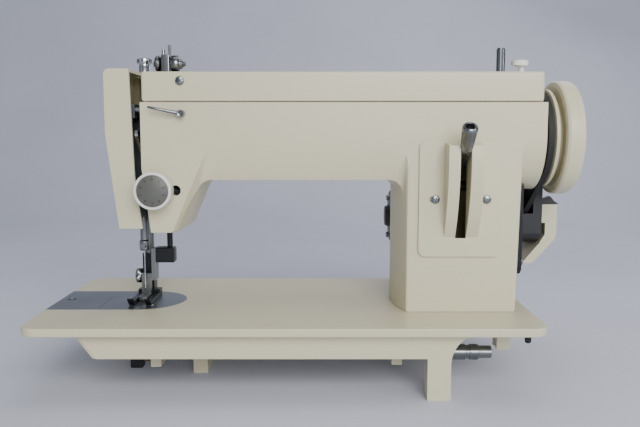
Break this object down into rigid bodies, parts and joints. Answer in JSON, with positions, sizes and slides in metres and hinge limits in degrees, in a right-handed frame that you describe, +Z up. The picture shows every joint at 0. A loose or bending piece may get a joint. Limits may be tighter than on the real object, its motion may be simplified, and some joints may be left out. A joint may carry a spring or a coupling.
{
  "type": "sewing machine",
  "caption": "Portable walking-foot sewing machine head with hinged face cover, stitch lever, tension dial, hand wheel, belt and motor.",
  "frame": {"origin": "on the table under the middle of the machine", "axes": "+X towards the hand wheel, +Y away from the operator, +Z up"},
  "size_m": [0.42, 0.178, 0.2618],
  "materials": {
    "cream_enamel": "baked enamel, semi-gloss",
    "plate_steel": "ground, grey-blue",
    "chrome": "polished",
    "ground_steel": "ground",
    "grey_casting": "machined casting, oiled",
    "blacked_steel": "black oxide",
    "bronze": "sintered bronze",
    "black_plastic": "moulded, satin",
    "white_plastic": "moulded, gloss",
    "belt_rubber": "matt"
  },
  "bodies": {
    "frame": {"bed_casting": "cream_enamel", "arm_casting": "cream_enamel", "top_cover": "cream_enamel", "stitch_plate": "cream_enamel", "belt_guard_cap": "cream_enamel", "needle_plate": "plate_steel", "plate_screw": "chrome", "top_cover_screw": "chrome", "stitch_screw_left": "chrome", "stitch_screw_right": "chrome", "thread_hook": "chrome", "pretension_post": "chrome", "pretension_discs": "chrome", "tension_discs": "chrome", "bobbin_case": "chrome", "rock_pin": "ground_steel", "cover_hinge": "ground_steel", "tension_stud": "ground_steel", "motor_screw_upper": "ground_steel", "motor_screw_lower": "ground_steel", "bracket_screw": "ground_steel", "motor_bracket": "blacked_steel", "feed_bush": "bronze", "motor_housing": "black_plastic", "belt_guard": "black_plastic", "drive_belt": "belt_rubber"},
    "wheel": {"hand_wheel": "cream_enamel", "main_shaft": "ground_steel", "needle_crank": "grey_casting"},
    "clutch": {"stop_motion_knob": "chrome"},
    "motor_rotor": {"motor_pulley": "ground_steel"},
    "hook": {"shuttle_hook": "ground_steel", "hook_shaft": "ground_steel"},
    "rock_frame": {"needle_bar_frame": "grey_casting"},
    "needle_slider": {"needle_bar": "ground_steel", "needle_clamp": "ground_steel", "needle": "chrome"},
    "walker": {"walking_bar": "blacked_steel", "link_block": "blacked_steel", "walking_foot": "blacked_steel"},
    "presser": {"presser_bar": "ground_steel", "presser_guide": "grey_casting", "presser_foot": "blacked_steel", "foot_screw": "ground_steel", "presser_spring": "ground_steel"},
    "lifter": {"presser_lifter": "ground_steel"},
    "take_up": {"take_up_lever": "chrome"},
    "feed": {"feed_dog": "ground_steel"},
    "feed_rocker": {"feed_shaft": "ground_steel", "feed_crank": "blacked_steel", "shaft_collar": "chrome"},
    "stitch": {"stitch_lever": "ground_steel", "stitch_lever_knob": "chrome"},
    "dial": {"tension_dial": "white_plastic"},
    "regulator": {"presser_regulator": "chrome"},
    "pretension": {"pretension_nut": "chrome"},
    "winder": {"winder_spindle": "chrome"},
    "winder_latch": {"winder_stop": "white_plastic"},
    "cover": {"face_cover": "cream_enamel"},
    "slide": {"slide_plate": "plate_steel"}
  },
  "joints": [
    {"name": "wheel_turn", "type": "hinge", "parent": "frame", "child": "wheel", "pos_m": [0.1745, 0, 0.1887], "axis": [1, 0, 0], "continuous": true},
    {"name": "clutch_turn", "type": "hinge", "parent": "wheel", "child": "clutch", "pos_m": [0.2035, 0, 0.1887], "axis": [1, 0, 0], "range_deg": [0, 60]},
    {"name": "motor_turn", "type": "hinge", "parent": "frame", "child": "motor_rotor", "pos_m": [0.163, 0.0595, 0.119], "axis": [1, 0, 0], "continuous": true},
    {"name": "hook_turn", "type": "hinge", "parent": "frame", "child": "hook", "pos_m": [-0.154, 0, 0.03], "axis": [1, 0, 0], "continuous": true},
    {"name": "feed_slide", "type": "slide", "parent": "frame", "child": "feed", "axis": [0, 1, 0], "range_m": [-0.003, 0.003]},
    {"name": "feed_rock", "type": "hinge", "parent": "frame", "child": "feed_rocker", "pos_m": [-0.1394, -0.029, 0.021], "axis": [1, 0, 0], "range_deg": [-5.8, 5.8]},
    {"name": "needle_frame_rock", "type": "hinge", "parent": "frame", "child": "rock_frame", "pos_m": [-0.1394, -0.03, 0.21], "axis": [1, 0, 0], "range_deg": [-1.2, 1.2]},
    {"name": "needle_slide", "type": "slide", "parent": "rock_frame", "child": "needle_slider", "axis": [0, 0, 1], "range_m": [-0.014, 0.018]},
    {"name": "walking_lift", "type": "slide", "parent": "rock_frame", "child": "walker", "axis": [0, 0, 1], "range_m": [-0.0015, 0.0019]},
    {"name": "take_up_swing", "type": "hinge", "parent": "frame", "child": "take_up", "pos_m": [-0.1337, 0.005, 0.155], "axis": [1, 0, 0], "range_deg": [-31.5, 24.6]},
    {"name": "lifter_turn", "type": "hinge", "parent": "frame", "child": "lifter", "pos_m": [-0.1185, 0.041, 0.142], "axis": [0, -1, 0], "range_deg": [0, 80]},
    {"name": "presser_lift", "type": "slide", "parent": "frame", "child": "presser", "axis": [0, 0, 1], "range_m": [0, 0.008], "deforming": ["presser_spring"]},
    {"name": "stitch_set", "type": "hinge", "parent": "frame", "child": "stitch", "pos_m": [0.11, 0, 0.15], "axis": [1, 0, 0], "range_deg": [0, 56]},
    {"name": "dial_turn", "type": "hinge", "parent": "frame", "child": "dial", "pos_m": [-0.1185, -0.041, 0.1503], "axis": [0, -1, 0], "range_deg": [-150, 150]},
    {"name": "regulator_turn", "type": "hinge", "parent": "frame", "child": "regulator", "pos_m": [-0.1394, 0.0165, 0.253], "axis": [0, 0, 1], "range_deg": [-180, 180]},
    {"name": "pretension_turn", "type": "hinge", "parent": "frame", "child": "pretension", "pos_m": [-0.1142, 0, 0.247], "axis": [1, 0, 0], "range_deg": [-180, 180]},
    {"name": "winder_spin", "type": "hinge", "parent": "frame", "child": "winder", "pos_m": [0.1475, 0, 0.238], "axis": [0, 0, 1], "continuous": true},
    {"name": "winder_latch_turn", "type": "hinge", "parent": "frame", "child": "winder_latch", "pos_m": [0.164, 0, 0.245], "axis": [0, 0, 1], "range_deg": [0, 70]},
    {"name": "face_cover_swing", "type": "hinge", "parent": "frame", "child": "cover", "pos_m": [-0.1327, 0.0442, 0.157], "axis": [0, 0, -1], "range_deg": [0, 95]},
    {"name": "slide_plate_slide", "type": "slide", "parent": "frame", "child": "slide", "axis": [-1, 0, 0], "range_m": [0, 0.035]}
  ],
  "couplings": [
    {"joint": "motor_turn", "follows": "wheel_turn", "ratio": 3.168},
    {"joint": "hook_turn", "follows": "wheel_turn", "ratio": 2},
    {"joint": "feed_rock", "follows": "feed_slide", "rad_per_m": -32.9},
    {"joint": "needle_frame_rock", "follows": "feed_slide", "rad_per_m": 6.49},
    {"joint": "take_up_swing", "follows": "needle_slide", "rad_per_m": -30},
    {"joint": "walking_lift", "follows": "needle_slide", "ratio": 0.1},
    {"joint": "lifter_turn", "follows": "presser_lift", "rad_per_m": 174.5}
  ]
}
